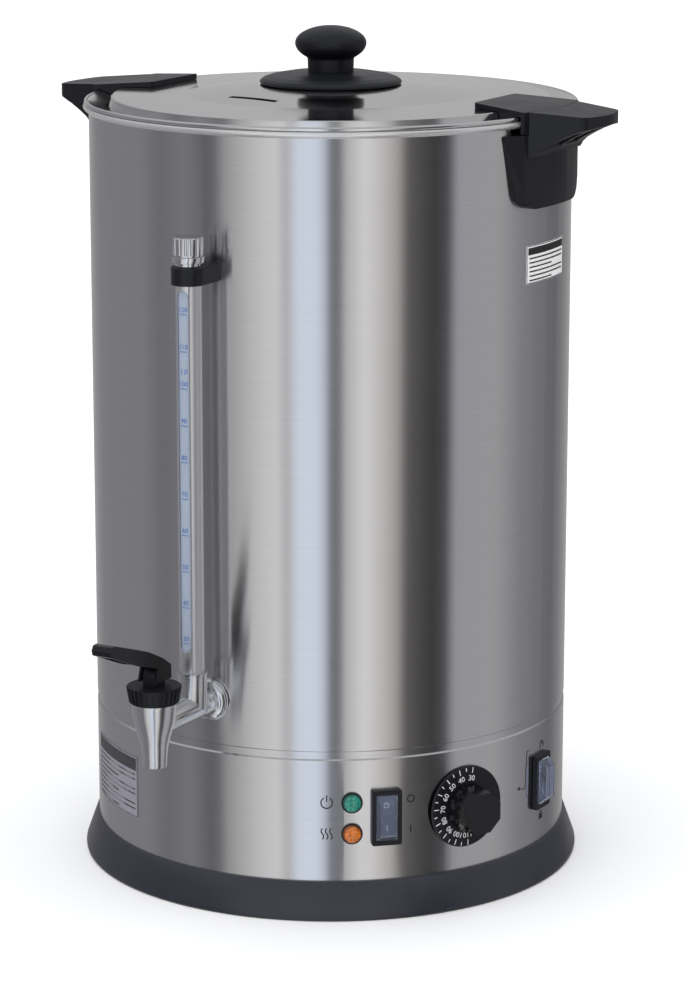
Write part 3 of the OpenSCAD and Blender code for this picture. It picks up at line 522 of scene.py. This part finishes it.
def rocker_marks(name, body, azimuth):
    strokes = ring_strokes(1.7 * MM, 0.5 * MM, 0, 360, 28, 0, 7.4 * MM)
    strokes += path_strokes([(0, -9.4 * MM), (0, -5.6 * MM)], 0.5 * MM)
    mesh = ribbon_mesh(name, strokes, INK)
    for vertex in mesh.vertices:
        vertex.co.z += (1.8 + 2.4 * abs(vertex.co.y) / (12.6 * MM)) * MM
    lean = Matrix.Rotation(math.radians(-8), 4, "X")
    place(name, mesh, body, INK_WHITE, on_wall(azimuth, PANEL_Z, -1.5 * MM) @ lean)


rocker_marks("power_rocker_marks", "power", POWER_AZ)
rocker_marks("mode_rocker_marks", "mode", MODE_AZ)

# ---- adhesive plates: a header bar and plain lines ---------------------------------------------


# How far each plate reaches round the shell, in degrees
PLATE_SPREAD = {"safety_plate": 19.0, "reset_plate": 23.9}
PLATE_TOP = 0.40 * MM


def plate_marks(name, node, rows, header, line_h, ink):
    low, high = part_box(node)
    azimuth, z = azimuth_of(node), (low.z + high.z) / 2
    h = high.z - low.z
    w = math.radians(PLATE_SPREAD[node]) * SHELL_R
    margin = 1.4 * MM
    strokes = [bar(0, h / 2 - margin - header / 2, w - 2 * margin, header, 36)]
    free = h - 2 * margin - header
    for row in range(rows):
        y = h / 2 - margin - header - free * (row + 0.8) / rows
        short = 0.62 if row % 3 == 2 else 1.0
        full = w - 4 * margin
        strokes.append(bar(-(1 - short) * full / 2, y, full * short, line_h, 36))
    edge = 0.35 * MM
    for side in (-1, 1):
        strokes.append(bar(0, side * (h / 2 - edge), w - edge, edge, 36))
        strokes.append(bar(side * (w / 2 - edge), 0, edge, h - edge))
    ink_on_shell(name, strokes, azimuth, z, ink, out=PLATE_TOP)


plate_marks("safety_marks", "safety_plate", 6, 4.6 * MM, 0.9 * MM, INK_BLACK)
plate_marks("reset_marks", "reset_plate", 9, 8.4 * MM, 0.9 * MM, INK_GREY)

# ---- studio: floor, surroundings and lights -----------------------------------------------------

CAMERA_AZ = 29.4
white = Nodes("floor_white", Roughness=0.9)
white.colour(white.blend(white.noise(3.0), (0.93, 0.93, 0.93), (0.95, 0.95, 0.95)))
bpy.ops.mesh.primitive_plane_add(size=14.0, location=(0, 0, -0.0002))
floor = bpy.context.object
floor.name = "floor"
floor.data.materials.append(white.material)
floor.visible_glossy = False

# Surroundings that the steel reflects: azimuth from the camera, brightness and tint. The stops
# follow a brightness profile that was measured across the shell in the photograph.
COOL = (0.90, 0.98, 1.12)
MAUVE = (0.98, 0.965, 1.05)
PLAIN = (1.0, 0.99, 1.0)
WARM = (1.03, 0.99, 0.97)
PANELS = [
    (-180, 0.50, PLAIN), (-160, 0.34, PLAIN), (-146, 0.27, MAUVE), (-101, 0.27, MAUVE), (-88, 0.20, MAUVE),
    (-72, 0.25, MAUVE), (-65, 0.19, MAUVE), (-61, 0.15, MAUVE), (-56, 0.18, MAUVE), (-51, 0.42, PLAIN),
    (-36, 0.72, PLAIN), (-25, 0.86, PLAIN), (-22, 0.58, PLAIN), (-20, 0.62, PLAIN), (-16, 0.96, COOL),
    (-7, 0.97, COOL), (-3, 0.74, COOL), (0, 0.22, COOL), (4, 0.20, PLAIN), (7, 0.62, PLAIN),
    (16, 0.92, PLAIN), (26, 0.66, WARM), (32, 0.46, WARM), (36, 0.13, WARM), (50, 0.048, PLAIN),
    (57, 0.08, MAUVE), (62, 0.43, MAUVE), (86, 0.44, PLAIN), (104, 0.29, MAUVE), (136, 0.17, MAUVE),
    (158, 0.34, PLAIN), (180, 0.50, PLAIN),
]


def surroundings():
    world = bpy.data.worlds.new("studio")
    bpy.context.scene.world = world
    world.use_nodes = True
    tree = world.node_tree
    tree.nodes.clear()

    def add(kind, **settings):
        node = tree.nodes.new(kind)
        for key, value in settings.items():
            setattr(node, key, value)
        return node

    def math_node(operation, first, second=None):
        node = add("ShaderNodeMath", operation=operation)
        for socket, value in zip(node.inputs, (first, second)):
            if isinstance(value, (int, float)):
                socket.default_value = value
            elif value is not None:
                tree.links.new(value, socket)
        return node.outputs["Value"]

    where = add("ShaderNodeTexCoord")
    split = add("ShaderNodeSeparateXYZ")
    tree.links.new(where.outputs["Generated"], split.inputs["Vector"])
    x, y, z = split.outputs
    bearing = math_node("ARCTAN2", x, math_node("MULTIPLY", y, -1.0))
    turn = math_node("MULTIPLY", math_node("SUBTRACT", bearing, math.radians(CAMERA_AZ)), 0.5 / math.pi)
    along = math_node("FRACT", math_node("ADD", turn, 0.5))
    ramp = add("ShaderNodeValToRGB")
    tree.links.new(along, ramp.inputs["Fac"])
    stops = ramp.color_ramp.elements
    while len(stops) > 1:
        stops.remove(stops[-1])
    for i, (azimuth, level, tint) in enumerate(PANELS):
        stop = stops[0] if i == 0 else stops.new(azimuth / 360 + 0.5)
        stop.position = azimuth / 360 + 0.5
        stop.color = (*(level * channel for channel in tint), 1)
    overhead = add("ShaderNodeMapRange", interpolation_type="SMOOTHSTEP")
    for socket, value in zip(("From Min", "From Max", "To Min", "To Max"), (0.24, 0.60, 0.0, 1.0)):
        overhead.inputs[socket].default_value = value
    tree.links.new(z, overhead.inputs["Value"])
    ceiling = add("ShaderNodeMix", data_type="RGBA")
    ceiling.inputs["B"].default_value = (0.52, 0.53, 0.55, 1)
    tree.links.new(overhead.outputs["Result"], ceiling.inputs["Factor"])
    tree.links.new(ramp.outputs["Color"], ceiling.inputs["A"])
    rays = add("ShaderNodeLightPath")
    seen = add("ShaderNodeMix", data_type="RGBA")
    seen.inputs["B"].default_value = (1.0, 1.0, 1.0, 1)
    tree.links.new(rays.outputs["Is Camera Ray"], seen.inputs["Factor"])
    tree.links.new(ceiling.outputs["Result"], seen.inputs["A"])
    background = add("ShaderNodeBackground")
    tree.links.new(seen.outputs["Result"], background.inputs["Color"])
    out = add("ShaderNodeOutputWorld")
    tree.links.new(background.outputs["Background"], out.inputs["Surface"])


def soft_sun(name, azimuth, height, strength, spread):
    """A wide, soft light from far away, kept out of reflections."""
    light = bpy.data.lights.new(name, "SUN")
    light.energy = strength
    light.angle = math.radians(spread)
    lamp = bpy.data.objects.new(name, light)
    bpy.context.scene.collection.objects.link(lamp)
    lamp.rotation_euler = (math.radians(90 - height), 0, math.radians(azimuth))
    lamp.visible_glossy = False


surroundings()
soft_sun("top_light", CAMERA_AZ - 25, 78, 2.7, 100)

# ---- camera -----------------------------------------------------------------------------------------

PITCH = 13.253
CAMERA_PLACE = (1.12224, -1.99165, 0.77953)
LENS = 124.4
SHIFT = 0.0137
camera_data = bpy.data.cameras.new("camera")
camera_data.sensor_fit = "VERTICAL"
camera_data.sensor_height = 36.0
camera_data.lens = LENS
camera_data.shift_x = SHIFT
camera_data.clip_end = 50.0
camera = bpy.data.objects.new("camera", camera_data)
bpy.context.scene.collection.objects.link(camera)
camera.location = CAMERA_PLACE
camera.rotation_euler = (math.radians(90 - PITCH), 0, math.radians(CAMERA_AZ))
bpy.context.scene.camera = camera
bpy.context.scene.view_settings.view_transform = "Standard"
